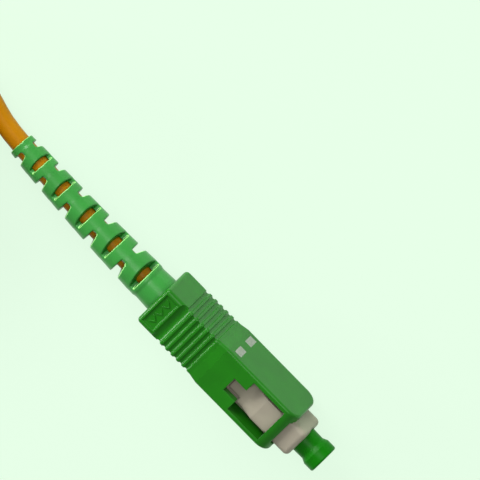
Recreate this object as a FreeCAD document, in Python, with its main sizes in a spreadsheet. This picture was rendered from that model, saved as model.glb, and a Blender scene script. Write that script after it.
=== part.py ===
"""Push-pull optical fibre plug with a slotted strain relief and a 3 mm cable.

Frame: the origin lies on the ferrule axis, in the plane of the outer housing's
front face.  +X runs out of the nose, +Y leaves the broad face that carries the
two white marks, and +Z leaves a narrow face with a latch window.  The plug lies
on its other narrow face.  Lengths that start with a place along the plug, such
as window_rear, are distances behind the front face.  All sizes are millimetres.
"""
import FreeCAD, Part
import math
import os
import re

import Sketcher

SIZES = [
    ("over_cut", 1.0, "how far every cutting tool reaches past what it cuts"),
    # outer housing
    ("housing_length", 26.0, "outer housing, front face to rear face"),
    ("housing_width", 7.5, "across the two broad faces, along Y"),
    ("housing_height", 9.0, "across the two narrow faces, along Z"),
    ("edge_round", 0.4, "rounding of the housing's other outer edges"),
    ("block_round", 0.6, "rounding of the rear block's outer edges"),
    ("block_front", 22.1, "front end of the rear block"),
    ("front_corner_round", 2.0, "large rounding between narrow faces and front face"),
    ("grip_inset", 0.18, "step down from the smooth part to the grip, each side"),
    ("step_front", 13.9, "front end of the slanted step to the grip"),
    ("step_rear", 15.3, "rear end of the slanted step"),
    ("groove_first", 16.25, "centre of the first finger groove"),
    ("groove_pitch", 1.075, "from one finger groove to the next"),
    ("groove_count", 6, "finger grooves on each face"),
    ("groove_radius", 0.42, "section radius of a finger groove"),
    ("groove_depth", 0.26, "depth of a finger groove"),
    ("panel_front", 23.4, "front end of the sunk panel's floor on the rear block"),
    ("panel_length", 1.85, "length of the panel's floor"),
    ("panel_width", 5.3, "width of the panel's floor"),
    ("panel_depth", 0.25, "depth of the sunk panel"),
    ("panel_slant", 35.0, "how far the panel's walls lean outwards, degrees"),
    ("hollow_front", 21.22, "front end of the deep hollow before the rear block"),
    ("hollow_length", 1.76, "length of that hollow on the narrow faces"),
    ("hollow_depth", 0.5, "depth of that hollow"),
    ("mark_front", 11.9, "front end of the two insertion marks"),
    ("mark_length", 1.2, "length of a mark along X"),
    ("mark_width", 2.35, "width of a mark along Z"),
    ("mark_gap", 2.0, "free width between the two marks"),
    ("mark_depth", 0.15, "depth of the recess that holds a mark"),
    ("key_front", 1.4, "front end of the key on the other broad face"),
    ("key_length", 6.8, "length of the key"),
    ("key_width", 3.2, "width of the key along Z"),
    ("key_height", 0.7, "height of the key above its face"),
    ("key_edge_round", 0.3, "rounding of the key's outer edges"),
    ("window_front", 2.0, "front end of a latch window"),
    ("window_rear", 8.05, "rear end of the window's wide part"),
    ("window_width", 5.9, "width of the window's wide part"),
    ("window_slot_rear", 10.4, "rear end of the window's narrow part"),
    ("window_slot_width", 2.5, "width of the window's narrow part"),
    ("latch_gap_width", 4.4, "width of the front slot for an adapter's latch"),
    ("latch_gap_height", 0.5, "height of that slot above the frame"),
    ("latch_gap_reach", 0.5, "how far that slot runs into the window"),
    ("boot_socket_depth", 4.6, "depth of the round socket for the boot"),
    ("boot_socket_clearance", 0.2, "radial room between boot and socket"),
    # plug frame
    ("nose_length", 2.5, "frame in front of the housing's front face"),
    ("frame_width", 4.8, "plug frame along Y"),
    ("frame_height", 6.6, "plug frame along Z"),
    ("frame_clearance", 0.1, "room between frame and housing, each side"),
    ("nose_round", 0.75, "rounding of the nose's edges"),
    ("frame_rear", 19.0, "rear face of the plug frame"),
    ("shoulder_rear", 2.2, "rear face of the solid nose block"),
    ("relief_rear", 10.6, "rear end of the frame's waist"),
    ("waist_height", 4.8, "height of the waist along Z"),
    ("catch_width", 4.1, "width of the latch catch"),
    ("catch_neck_front", 8.0, "where the catch narrows to its neck"),
    ("catch_neck_width", 2.4, "width of the catch's neck"),
    ("catch_neck_rear", 10.2, "rear end of the catch's neck"),
    ("catch_ramp_front", 4.9, "front end of the catch's ramp"),
    ("catch_ramp_rear", 6.9, "rear end of the catch's ramp"),
    ("catch_drop", 0.6, "how far the catch lies lower behind its ramp"),
    ("nose_bore_radius", 2.1, "bore that takes an adapter's sleeve"),
    ("partition_front", 3.6, "front face of the frame's inner wall"),
    ("partition_rear", 4.8, "rear face of the frame's inner wall"),
    ("partition_bore_radius", 1.35, "hole in that wall for the ferrule"),
    ("chamber_radius", 2.0, "bore that holds the spring"),
    # ferrule and what rides on it
    ("ferrule_radius", 1.25, "zirconia ferrule"),
    ("ferrule_tip", 3.8, "ferrule tip in front of the housing's front face"),
    ("ferrule_rear", 6.7, "rear end of the ferrule"),
    ("ferrule_cone_length", 0.7, "length of the tip's cone"),
    ("ferrule_cone_radius", 0.75, "radius of the polished end"),
    ("polish_angle", 8.0, "slant of the polished end, degrees"),
    ("ferrule_bore_radius", 0.07, "bore for the bare fibre"),
    ("fibre_radius", 0.0625, "bare glass fibre"),
    ("fibre_setback", 0.02, "how far the fibre's end stays behind the slanted face"),
    ("flange_radius", 1.85, "collar of the ferrule's flange"),
    ("flange_length", 2.6, "length of the collar"),
    ("flange_notch_width", 0.7, "width of a key notch in the collar"),
    ("flange_notch_depth", 0.45, "depth of a key notch"),
    ("flange_notch_count", 4, "key notches round the collar"),
    ("tail_radius", 1.05, "flange's tail"),
    ("tail_rear", 11.5, "rear end of the flange's tail"),
    ("buffer_radius", 0.45, "buffered fibre"),
    ("buffer_clearance", 0.05, "room round the buffered fibre"),
    ("buffer_rear", 34.6, "rear end of the buffered fibre's straight piece"),
    ("tube_radius", 0.8, "guide tube, outside"),
    ("tube_seat_length", 1.5, "guide tube inside the flange's tail"),
    ("tube_rear", 18.0, "rear end of the guide tube"),
    ("spring_wire_radius", 0.19, "wire of the ferrule spring"),
    ("spring_wire_flats", 8, "flats that stand for the wire's round section"),
    ("spring_mean_radius", 1.45, "mean radius of the ferrule spring"),
    ("spring_pitch", 1.1, "pitch of the ferrule spring"),
    # stop ring, crimp and cable
    ("stop_front", 14.2, "front face of the stop ring"),
    ("stop_clearance", 0.06, "room between stop ring and spring bore"),
    ("stop_flange_length", 1.2, "flange behind the plug frame"),
    ("stop_flange_radius", 2.35, "radius of that flange"),
    ("stem_radius", 1.8, "stem that carries the crimp"),
    ("stem_rear", 27.0, "rear end of the stem"),
    ("stem_ring_depth", 0.12, "depth of the rings turned in the stem"),
    ("stem_ring_margin", 0.1, "how far the ring tool starts outside the stem"),
    ("stem_ring_pitch", 0.8, "from one stem ring to the next"),
    ("stem_ring_count", 6, "rings turned in the stem"),
    ("stop_bore_radius", 1.0, "bore of the stop ring"),
    ("yarn_thickness", 0.2, "strength yarn laid over the stem"),
    ("yarn_setback", 0.3, "yarn's front end behind the crimp sleeve's"),
    ("yarn_turn", 0.2, "room for the yarn's turn behind the stem"),
    ("crimp_wall", 0.3, "wall of the crimp sleeve"),
    ("crimp_front", 20.5, "front end of the crimp sleeve"),
    ("crimp_shoulder", 27.4, "rear end of the crimp sleeve's wide part"),
    ("crimp_neck_front", 28.0, "front end of the crimp sleeve's neck"),
    ("crimp_rear", 29.2, "rear end of the crimp sleeve"),
    ("cable_radius", 1.5, "cable jacket"),
    ("jacket_bore_radius", 1.0, "inside of the jacket"),
    ("jacket_bore_rear", 36.0, "rear end of the opened stretch of jacket"),
    # boot
    ("boot_front", 24.5, "front end of the boot, inside the housing"),
    ("boot_collar_radius", 2.85, "boot where it enters the housing"),
    ("boot_neck_start", 26.4, "where the boot starts to narrow"),
    ("boot_neck_end", 28.5, "narrowest place before the long taper"),
    ("boot_neck_radius", 2.74, "radius at that place"),
    ("boot_body_start", 28.9, "front end of the long taper"),
    ("boot_body_radius", 2.88, "radius at the front of the long taper"),
    ("boot_ring_start", 54.1, "front end of the tail ring"),
    ("boot_tail_radius", 2.06, "radius at the rear of the long taper"),
    ("boot_ring_radius", 1.98, "radius of the tail ring"),
    ("boot_rear", 55.1, "rear end of the boot"),
    ("boot_clearance", 0.06, "room between boot and what it covers"),
    ("rib_step", 0.04, "how far each rib's front edge stands over the rib before it"),
    ("bore_taper", 0.01, "how much each link of the boot's bore narrows"),
    ("link_lap", 0.05, "how far each rib's cone reaches into the one before it"),
    ("cut_margin", 0.1, "how much deeper the boot's bores are than what they cover"),
    ("slot_first", 30.05, "centre of the first slot"),
    ("slot_gap", 3.0, "from the first slot to the second"),
    ("slot_gap_shrink", 0.095, "how much each gap is less than the one before"),
    ("slot_count", 10, "slots along the boot"),
    ("slot_root", 1.0, "flat distance of a slot's root from the axis"),
    ("slot_flare", 19.0, "slant of a slot's one sloping wall, degrees"),
    ("face_slot_rear", 0.06, "root of a slot that faces up or down: rear end"),
    ("face_slot_front", 0.68, "and front end, whose wall is upright"),
    ("side_slot_rear", -0.42, "root of a slot at the sides: rear end, with an upright wall"),
    ("side_slot_front", 0.38, "and front end"),
    ("slot_clock", 38.6, "turn of the first slot from +Z towards +Y, degrees"),
    ("bend_start", 30.05, "where boot and cable start to sag, at the first slot"),
    ("bend_radius", 300.0, "radius of the sag inside the boot"),
    ("bend_roll", 20.0, "turn of the sag from straight down towards +Y, degrees"),
    # dust cap
    ("cap_rear", 1.2, "inner end of the dust cap, inside the nose"),
    ("cap_skirt_radius", 1.92, "dust cap inside the nose"),
    ("cap_neck_radius", 2.06, "dust cap at the nose's face"),
    ("cap_flare_length", 0.6, "length over which the skirt widens to that"),
    ("cap_waist_radius", 2.02, "dust cap's waist"),
    ("cap_waist", 4.3, "waist, in front of the housing's front face"),
    ("cap_rim", 5.0, "rear edge of the finger rim"),
    ("cap_rim_radius", 2.36, "radius of the finger rim"),
    ("cap_tip", 6.6, "outer end of the dust cap"),
    ("cap_tip_round", 0.3, "rounding of the outer end"),
    ("cap_fit", 0.04, "radial room between dust cap and ferrule"),
    ("cap_end_room", 0.6, "room between the ferrule's tip and the cap's floor"),
    # coil of cable
    ("coil_inner_radius", 12.0, "inside of the coiled cable"),
    ("coil_outer_radius", 18.0, "outside of the coiled cable"),
    ("coil_top", 10.5, "top of the coiled cable, five layers above the ground"),
    ("coil_bevel", 0.85, "bevel of the coil's edges, outside the outermost turns"),
]

# The cable's route from the boot's tail to the coil, lying on the ground at its
# end.  The first point is the tail's own end and is worked out from the boot.
CABLE_ROUTE = [
    (-58.45, 0.46, -1.25),
    (-62.6, 1.45, -2.00),
    (-67.0, 2.45, -2.70),
    (-71.3, 3.00, -3.00),
    (-75.2, 3.00, -3.00),
]
COIL_CENTRE = (-75.2, -13.5)
ARC_SHARE = 0.45

doc = FreeCAD.newDocument("FibrePlug")
sheet = doc.addObject("Spreadsheet::Sheet", "Sizes")
for row, (alias, number, note) in enumerate(SIZES, start=1):
    sheet.set("A%d" % row, alias)
    sheet.set("B%d" % row, repr(number))
    sheet.set("C%d" % row, note)
    sheet.setAlias("B%d" % row, alias)
doc.recompute()

ALIAS = re.compile(r"\b(%s)\b" % "|".join(alias for alias, _, _ in SIZES))
VEC = FreeCAD.Vector
X_AXIS, Y_AXIS, Z_AXIS = VEC(1, 0, 0), VEC(0, 1, 0), VEC(0, 0, 1)


def cell(formula):
    """Return a formula in aliases as an expression that reads the sheet."""
    return ALIAS.sub(r"Sizes.\1", formula)


def size(formula):
    """Return the present value of a formula in aliases."""
    return float(sheet.evalExpression(cell(formula)))


def bind(feature, **formulas):
    """Bind properties of a feature to formulas; a double underscore stands for a dot."""
    for name, formula in formulas.items():
        feature.setExpression(name.replace("__", "."), cell(formula))


# ---------------------------------------------------------------- sketches

def new_body(label):
    body = doc.addObject("PartDesign::Body", label)
    body.Label = label
    return body


def new_sketch(body, name, role, offset=None):
    """Attach a sketch to one of its body's own origin planes.

    XY_Plane and XZ_Plane sketches run along X, YZ_Plane sketches along Y.  The
    offset moves the sketch along the plane's normal: +Z, -Y and +X.
    """
    sketch = body.newObject("Sketcher::SketchObject", name)
    plane = next(f for f in body.Origin.OriginFeatures if f.Role == role)
    sketch.AttachmentSupport = [(plane, "")]
    sketch.MapMode = "FlatFace"
    if offset:
        bind(sketch, AttachmentOffset__Base__z=offset)
    doc.recompute()
    return sketch


def pin_point(sketch, geometry, end, across, along):
    """Hold one point of a sketch at two formulas, counted from the origin."""
    for kind, formula in (("DistanceX", across), ("DistanceY", along)):
        constraint = sketch.addConstraint(
            Sketcher.Constraint(kind, -1, 1, geometry, end, size(formula)))
        name = "%s_%d_%d" % (kind, geometry, end)
        sketch.renameConstraint(constraint, name)
        sketch.setExpression("Constraints." + name, cell(formula))


def add_loop(sketch, corners):
    """Draw a closed outline of straight lines with every corner held by the sheet."""
    first = sketch.GeometryCount
    places = [VEC(size(a), size(b), 0) for a, b in corners]
    for here, there in zip(places, places[1:] + places[:1]):
        sketch.addGeometry(Part.LineSegment(here, there), False)
    for step, (across, along) in enumerate(corners):
        following = first + (step + 1) % len(corners)
        sketch.addConstraint(Sketcher.Constraint("Coincident", first + step, 2, following, 1))
        pin_point(sketch, first + step, 1, across, along)


def add_rectangle(sketch, left, right, low, high):
    add_loop(sketch, [(left, low), (right, low), (right, high), (left, high)])


def add_circle(sketch, across, along, radius):
    """Draw a circle with its centre and radius held by the sheet."""
    centre = VEC(size(across), size(along), 0)
    circle = sketch.addGeometry(Part.Circle(centre, Z_AXIS, size(radius)), False)
    pin_point(sketch, circle, 3, across, along)
    constraint = sketch.addConstraint(Sketcher.Constraint("Radius", circle, size(radius)))
    name = "radius_%d" % circle
    sketch.renameConstraint(constraint, name)
    sketch.setExpression("Constraints." + name, cell(radius))


# ---------------------------------------------------------------- features

def extrude(body, kind, sketch, length, both=False, backwards=False):
    """Pad or pocket a sketch by a formula, to one side or evenly to both."""
    feature = body.newObject("PartDesign::" + kind, sketch.Name + "_" + kind.lower())
    feature.Profile = sketch
    feature.SideType = "Symmetric" if both else "One side"
    feature.Reversed = backwards
    bind(feature, Length=length)
    doc.recompute()
    return feature


def turn(body, kind, sketch):
    """Revolve or groove a sketch all round the X axis."""
    feature = body.newObject("PartDesign::" + kind, sketch.Name + "_" + kind.lower())
    feature.Profile = sketch
    feature.ReferenceAxis = (sketch, ["H_Axis"])
    feature.Angle = 360
    doc.recompute()
    return feature


def round_edges(body, name, radius, wanted, kind="Fillet"):
    """Round the edges of a body's tip that the given test picks."""
    tip = body.Tip
    edges = ["Edge%d" % (n + 1) for n, edge in enumerate(tip.Shape.Edges) if wanted(edge)]
    feature = body.newObject("PartDesign::" + kind, name)
    feature.Base = (tip, edges)
    bind(feature, **{"Radius" if kind == "Fillet" else "Size": radius})
    doc.recompute()
    return feature


def repeat_along(body, name, feature, sketch, count, pitch):
    """Repeat a feature towards -X."""
    pattern = body.newObject("PartDesign::LinearPattern", name)
    pattern.Originals = [feature]
    pattern.Direction = (sketch, ["H_Axis"])
    pattern.Reversed = True
    bind(pattern, Occurrences=count, Length="(%s - 1) * %s" % (count, pitch))
    body.Tip = pattern
    doc.recompute()
    return pattern


def turned_body(label, corners):
    """Make a body by revolving an outline of (place along X, radius) corners."""
    body = new_body(label)
    sketch = new_sketch(body, label + "_section", "XZ_Plane")
    add_loop(sketch, corners)
    turn(body, "Revolution", sketch)
    return body


def lies_along(edge, axis):
    """Tell whether a straight edge runs along an axis."""
    if edge.Curve.TypeId != "Part::GeomLine":
        return False
    return abs(edge.tangentAt(edge.FirstParameter).dot(axis)) > 0.999


def near(value, formula, slack=1e-4):
    return abs(value - size(formula)) < slack


# ---------------------------------------------------------------- outer housing

def add_rounded_rectangle(sketch, width, height, radius):
    """Draw a centred rectangle with round corners, every point held by the sheet."""
    first = sketch.GeometryCount
    across, along = "(%s) / 2" % width, "(%s) / 2" % height
    inner_across, inner_along = across + " - " + radius, along + " - " + radius
    corners = []
    for side, level in (("", ""), ("-", ""), ("-", "-"), ("", "-")):
        beside = (side + "(%s)" % across, level + "(%s)" % inner_along)
        above = (side + "(%s)" % inner_across, level + "(%s)" % along)
        corners.append((beside, above) if side == level else (above, beside))
    for start, end in corners:
        level = VEC(size(start[0]), size(start[1]), 0), VEC(size(end[0]), size(end[1]), 0)
        turns_upright = abs(level[0].x) > abs(level[1].x)
        centre = VEC(level[1].x, level[0].y, 0) if turns_upright else VEC(level[0].x, level[1].y, 0)
        outward = ((level[0] + level[1]) * 0.5 - centre).normalize()
        sketch.addGeometry(Part.Arc(level[0], centre + outward * size(radius), level[1]), False)
    for step, (_, end) in enumerate(corners):
        following = corners[(step + 1) % 4][0]
        sketch.addGeometry(Part.LineSegment(VEC(size(end[0]), size(end[1]), 0),
                                            VEC(size(following[0]), size(following[1]), 0)), False)
    for step, (start, end) in enumerate(corners):
        arc, line = first + step, first + 4 + step
        sketch.addConstraint(Sketcher.Constraint("Coincident", arc, 2, line, 1))
        sketch.addConstraint(Sketcher.Constraint("Coincident", line, 2, first + (step + 1) % 4, 1))
        pin_point(sketch, line, 1, *end)
        pin_point(sketch, line, 2, *corners[(step + 1) % 4][0])
        constraint = sketch.addConstraint(Sketcher.Constraint("Radius", arc, size(radius)))
        sketch.renameConstraint(constraint, "corner_%d" % step)
        sketch.setExpression("Constraints.corner_%d" % step, cell(radius))


def housing_form(body):
    """The outer form: smooth front, slanted step and smaller grip, all round-edged."""
    section = new_sketch(body, "front_section", "YZ_Plane")
    add_rectangle(section, "-housing_width / 2", "housing_width / 2",
                  "-housing_height / 2", "housing_height / 2")
    extrude(body, "Pad", section, "step_front", backwards=True)

    def front_corner(edge):
        return lies_along(edge, Y_AXIS) and near(edge.CenterOfMass.x, "0")

    def broad_face_edge(edge):
        middle = edge.CenterOfMass
        return near(abs(middle.y), "housing_width / 2") and not near(middle.x, "-step_front")

    round_edges(body, "front_corners", "front_corner_round", front_corner)
    round_edges(body, "front_edges", "edge_round", broad_face_edge)
    large = new_sketch(body, "step_front_section", "YZ_Plane", "-step_front")
    add_rounded_rectangle(large, "housing_width", "housing_height", "edge_round")
    small = new_sketch(body, "step_rear_section", "YZ_Plane", "-step_rear")
    add_rounded_rectangle(small, "housing_width - 2 * grip_inset",
                          "housing_height - 2 * grip_inset", "edge_round")
    step = body.newObject("PartDesign::AdditiveLoft", "grip_step")
    step.Profile = large
    step.Sections = [small]
    step.Ruled = True
    doc.recompute()
    fuse = body.newObject("PartDesign::Boolean", "with_grip")
    fuse.setObjects([
        grip_block("grip_ribs", "step_rear", "block_front", "edge_round"),
        grip_block("grip_rear_block", "block_front", "housing_length", "block_round")])
    fuse.Type = "Fuse"
    body.Tip = fuse
    doc.recompute()


def grip_block(label, front, rear, radius):
    """One length of the smaller part of the housing that the fingers hold."""
    body = new_body(label)
    section = new_sketch(body, label + "_section", "YZ_Plane", "-" + front)
    wide, high = "(housing_width / 2 - grip_inset)", "(housing_height / 2 - grip_inset)"
    add_rectangle(section, "-" + wide, wide, "-" + high, high)
    extrude(body, "Pad", section, "%s - %s" % (rear, front), backwards=True)
    round_edges(body, label + "_edges", radius, lambda edge: lies_along(edge, X_AXIS)
                or near(edge.CenterOfMass.x, "-housing_length"))
    return body


def housing_key(body):
    """The polarity key on the broad face away from the marks."""
    key = new_sketch(body, "key", "XZ_Plane", "housing_width / 2 - edge_round")
    add_rectangle(key, "-key_front - key_length", "-key_front", "-key_width / 2", "key_width / 2")
    extrude(body, "Pad", key, "key_height + edge_round")
    top = "-(housing_width / 2 + key_height)"
    round_edges(body, "key_edges", "key_edge_round", lambda edge: near(edge.CenterOfMass.y, top))


def housing_grip(body):
    """Finger grooves all round the grip, and the deep hollow before the rear block."""
    for role, half in (("XZ_Plane", "housing_height / 2"), ("XY_Plane", "housing_width / 2")):
        groove = new_sketch(body, "groove_" + role[:2], role)
        for side in ("", "-"):
            add_circle(groove, "-groove_first",
                       side + "(%s - grip_inset + groove_radius - groove_depth)" % half,
                       "groove_radius")
        cut = extrude(body, "Pocket", groove, "housing_height + 2 * over_cut", both=True)
        repeat_along(body, "grooves_" + role[:2], cut, groove, "groove_count", "groove_pitch")
    hollow = new_sketch(body, "hollow", "XZ_Plane")
    face = "housing_height / 2 - grip_inset"
    radius = "(hollow_length ^ 2 / 8 / hollow_depth + hollow_depth / 2)"
    for side in ("", "-"):
        add_circle(hollow, "-hollow_front - hollow_length / 2",
                   side + "(%s - hollow_depth + %s)" % (face, radius), radius)
    extrude(body, "Pocket", hollow, "housing_height + 2 * over_cut", both=True)


def housing_recesses(body):
    """Sunk panels on the rear block and the two recesses for the marks."""
    for side, backwards in (("", True), ("-", False)):
        panel = new_sketch(body, "panel" + ("_top" if backwards else "_bottom"), "XY_Plane",
                           side + "(housing_height / 2 - grip_inset - panel_depth)")
        add_rectangle(panel, "-panel_front - panel_length", "-panel_front",
                      "-panel_width / 2", "panel_width / 2")
        pocket = extrude(body, "Pocket", panel, "2 * panel_depth", backwards=backwards)
        bind(pocket, TaperAngle="panel_slant")
        doc.recompute()
    marks = new_sketch(body, "mark_recesses", "XZ_Plane", "-(housing_width / 2 - mark_depth)")
    for inner, outer in (("mark_gap / 2", "mark_gap / 2 + mark_width"),
                         ("-mark_gap / 2 - mark_width", "-mark_gap / 2")):
        add_rectangle(marks, "-mark_front - mark_length", "-mark_front", inner, outer)
    extrude(body, "Pocket", marks, "over_cut")


def housing_passage(body):
    """The way through for the plug frame, the latch windows and the boot's socket."""
    passage = new_sketch(body, "frame_passage", "YZ_Plane", "over_cut")
    add_rectangle(passage, "-frame_width / 2 - frame_clearance", "frame_width / 2 + frame_clearance",
                  "-frame_height / 2 - frame_clearance", "frame_height / 2 + frame_clearance")
    extrude(body, "Pocket", passage, "housing_length + 2 * over_cut")
    latch = new_sketch(body, "latch_gap", "YZ_Plane", "over_cut")
    add_rectangle(latch, "-latch_gap_width / 2", "latch_gap_width / 2",
                  "-frame_height / 2 - latch_gap_height", "frame_height / 2 + latch_gap_height")
    extrude(body, "Pocket", latch, "over_cut + window_front + latch_gap_reach")
    window = new_sketch(body, "latch_window", "XY_Plane")
    wide, narrow = "window_width / 2", "window_slot_width / 2"
    add_loop(window, [("-window_front", "-" + wide), ("-window_front", wide),
                      ("-window_rear", wide), ("-window_rear", narrow),
                      ("-window_slot_rear", narrow), ("-window_slot_rear", "-" + narrow),
                      ("-window_rear", "-" + narrow), ("-window_rear", "-" + wide)])
    extrude(body, "Pocket", window, "housing_height + 2 * over_cut", both=True)
    socket = new_sketch(body, "boot_socket", "YZ_Plane", "-housing_length - over_cut")
    add_circle(socket, "0", "0", "boot_collar_radius + boot_socket_clearance")
    extrude(body, "Pocket", socket, "boot_socket_depth + over_cut", backwards=True)


def outer_housing():
    body = new_body("outer_housing")
    housing_form(body)
    housing_key(body)
    housing_grip(body)
    housing_recesses(body)
    housing_passage(body)
    return body


def insertion_marks():
    """Two blocks of white paint that fill their recesses."""
    blocks = []
    for side in (1, -1):
        block = doc.addObject("Part::Box", "mark_" + ("upper" if side > 0 else "lower"))
        low = "mark_gap / 2" if side > 0 else "-mark_gap / 2 - mark_width"
        bind(block, Length="mark_length", Width="mark_depth", Height="mark_width",
             Placement__Base__x="-mark_front - mark_length",
             Placement__Base__y="housing_width / 2 - mark_depth", Placement__Base__z=low)
        blocks.append(block)
    marks = doc.addObject("Part::Compound", "insertion_marks")
    marks.Links = blocks
    marks.Label = "insertion_marks"
    return marks


# ---------------------------------------------------------------- plug frame

def plug_frame():
    """The inner frame: nose block, waist with T-shaped latch catches, spring bore."""
    body = new_body("plug_frame")
    nose = new_sketch(body, "nose", "YZ_Plane", "nose_length")
    add_rectangle(nose, "-frame_width / 2", "frame_width / 2", "-frame_height / 2", "frame_height / 2")
    extrude(body, "Pad", nose, "nose_length + shoulder_rear", backwards=True)

    def nose_edge(edge):
        middle = edge.CenterOfMass
        return near(middle.x, "nose_length") or lies_along(edge, X_AXIS)

    round_edges(body, "nose_edges", "nose_round", nose_edge)
    waist = new_sketch(body, "waist", "YZ_Plane", "-shoulder_rear")
    add_rectangle(waist, "-frame_width / 2", "frame_width / 2", "-waist_height / 2", "waist_height / 2")
    extrude(body, "Pad", waist, "relief_rear - shoulder_rear", backwards=True)
    rear = new_sketch(body, "rear_block", "YZ_Plane", "-relief_rear")
    add_rectangle(rear, "-frame_width / 2", "frame_width / 2", "-frame_height / 2", "frame_height / 2")
    extrude(body, "Pad", rear, "frame_rear - relief_rear", backwards=True)
    catch = new_sketch(body, "catch", "XY_Plane")
    wide, narrow = "catch_width / 2", "catch_neck_width / 2"
    add_loop(catch, [("-shoulder_rear", "-" + wide), ("-shoulder_rear", wide),
                     ("-catch_neck_front", wide), ("-catch_neck_front", narrow),
                     ("-catch_neck_rear", narrow), ("-catch_neck_rear", "-" + narrow),
                     ("-catch_neck_front", "-" + narrow), ("-catch_neck_front", "-" + wide)])
    extrude(body, "Pad", catch, "frame_height", both=True)
    ramp = new_sketch(body, "catch_ramp", "XZ_Plane")
    for side in ("", "-"):
        add_loop(ramp, [("-catch_ramp_front", side + "(frame_height / 2)"),
                        ("-catch_ramp_rear", side + "(frame_height / 2 - catch_drop)"),
                        ("-relief_rear", side + "(frame_height / 2 - catch_drop)"),
                        ("-relief_rear", side + "(frame_height / 2 + over_cut)"),
                        ("-catch_ramp_front", side + "(frame_height / 2 + over_cut)")])
    extrude(body, "Pocket", ramp, "frame_width + 2 * over_cut", both=True)
    bore = new_sketch(body, "bore", "XZ_Plane")
    add_loop(bore, [("nose_length + over_cut", "0"), ("nose_length + over_cut", "nose_bore_radius"),
                    ("-partition_front", "nose_bore_radius"),
                    ("-partition_front", "partition_bore_radius"),
                    ("-partition_rear", "partition_bore_radius"),
                    ("-partition_rear", "chamber_radius"),
                    ("-frame_rear - over_cut", "chamber_radius"), ("-frame_rear - over_cut", "0")])
    turn(body, "Groove", bore)
    return body


# ---------------------------------------------------------------- ferrule and its train

def ferrule():
    """The zirconia ferrule, with a coned tip polished at a slant."""
    body = turned_body("ferrule", [
        ("-ferrule_rear", "ferrule_bore_radius"), ("-ferrule_rear", "ferrule_radius"),
        ("ferrule_tip - ferrule_cone_length", "ferrule_radius"),
        ("ferrule_tip", "ferrule_cone_radius"), ("ferrule_tip", "ferrule_bore_radius")])
    polish = new_sketch(body, "polish", "XY_Plane")
    slant = "ferrule_cone_radius * tan(polish_angle * 1 deg)"
    add_loop(polish, [("ferrule_tip", "ferrule_cone_radius"),
                      ("ferrule_tip - 2 * " + slant, "-ferrule_cone_radius"),
                      ("ferrule_tip - 2 * " + slant, "-ferrule_radius"),
                      ("ferrule_tip + 1", "-ferrule_radius"),
                      ("ferrule_tip + 1", "ferrule_cone_radius")])
    extrude(body, "Pocket", polish, "4 * ferrule_radius", both=True)
    return body


def bare_fibre():
    """The stripped glass fibre in the ferrule's bore, polished back with it."""
    end = "ferrule_tip - ferrule_cone_radius * tan(polish_angle * 1 deg) - fibre_setback"
    return turned_body("bare_fibre", [
        ("-ferrule_rear", "0"), ("-ferrule_rear", "fibre_radius"), (end, "fibre_radius"), (end, "0")])


def ferrule_flange():
    """The metal collar and tail pressed on the ferrule's rear end."""
    hole = "buffer_radius + buffer_clearance"
    body = turned_body("ferrule_flange", [
        ("-partition_rear", "ferrule_radius"), ("-partition_rear", "flange_radius"),
        ("-partition_rear - flange_length", "flange_radius"),
        ("-partition_rear - flange_length", "tail_radius"), ("-tail_rear", "tail_radius"),
        ("-tail_rear", "tube_radius"), ("-tail_rear + tube_seat_length", "tube_radius"),
        ("-tail_rear + tube_seat_length", hole), ("-ferrule_rear", hole),
        ("-ferrule_rear", "ferrule_radius")])
    notch = new_sketch(body, "key_notch", "YZ_Plane", "-partition_rear + 1")
    add_rectangle(notch, "-flange_notch_width / 2", "flange_notch_width / 2",
                  "flange_radius - flange_notch_depth", "flange_radius + 1")
    cut = extrude(body, "Pocket", notch, "1 + flange_length / 2")
    around = body.newObject("PartDesign::PolarPattern", "key_notches")
    around.Originals = [cut]
    around.Axis = (notch, ["N_Axis"])
    around.Angle = 360
    bind(around, Occurrences="flange_notch_count")
    body.Tip = around
    return body


def buffered_fibre():
    return turned_body("buffered_fibre", [
        ("-buffer_rear", "0"), ("-buffer_rear", "buffer_radius"),
        ("-ferrule_rear", "buffer_radius"), ("-ferrule_rear", "0")])


def guide_tube():
    """The plain tube that leads the buffered fibre out of the flange's tail."""
    front = "-tail_rear + tube_seat_length"
    hole = "buffer_radius + buffer_clearance"
    return turned_body("guide_tube", [
        ("-tube_rear", hole), ("-tube_rear", "tube_radius"), (front, "tube_radius"), (front, hole)])


def ferrule_spring():
    """The open coil spring between the flange and the stop ring."""
    body = new_body("ferrule_spring")
    wire = new_sketch(body, "wire", "XZ_Plane")
    flats = int(size("spring_wire_flats"))
    corners = []
    for number in range(flats):
        angle = "(%d * 360 / spring_wire_flats * 1 deg)" % number
        corners.append(("-stop_front + spring_wire_radius * (1 + cos%s)" % angle,
                        "spring_mean_radius + spring_wire_radius * sin%s" % angle))
    add_loop(wire, corners)
    helix = body.newObject("PartDesign::AdditiveHelix", "turns")
    helix.Profile = wire
    helix.ReferenceAxis = (wire, ["H_Axis"])
    helix.Mode = "pitch-height-angle"
    bind(helix, Pitch="spring_pitch",
         Height="stop_front - partition_rear - flange_length - 2 * spring_wire_radius")
    doc.recompute()
    return body


# ---------------------------------------------------------------- stop ring, crimp, yarn

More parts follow.
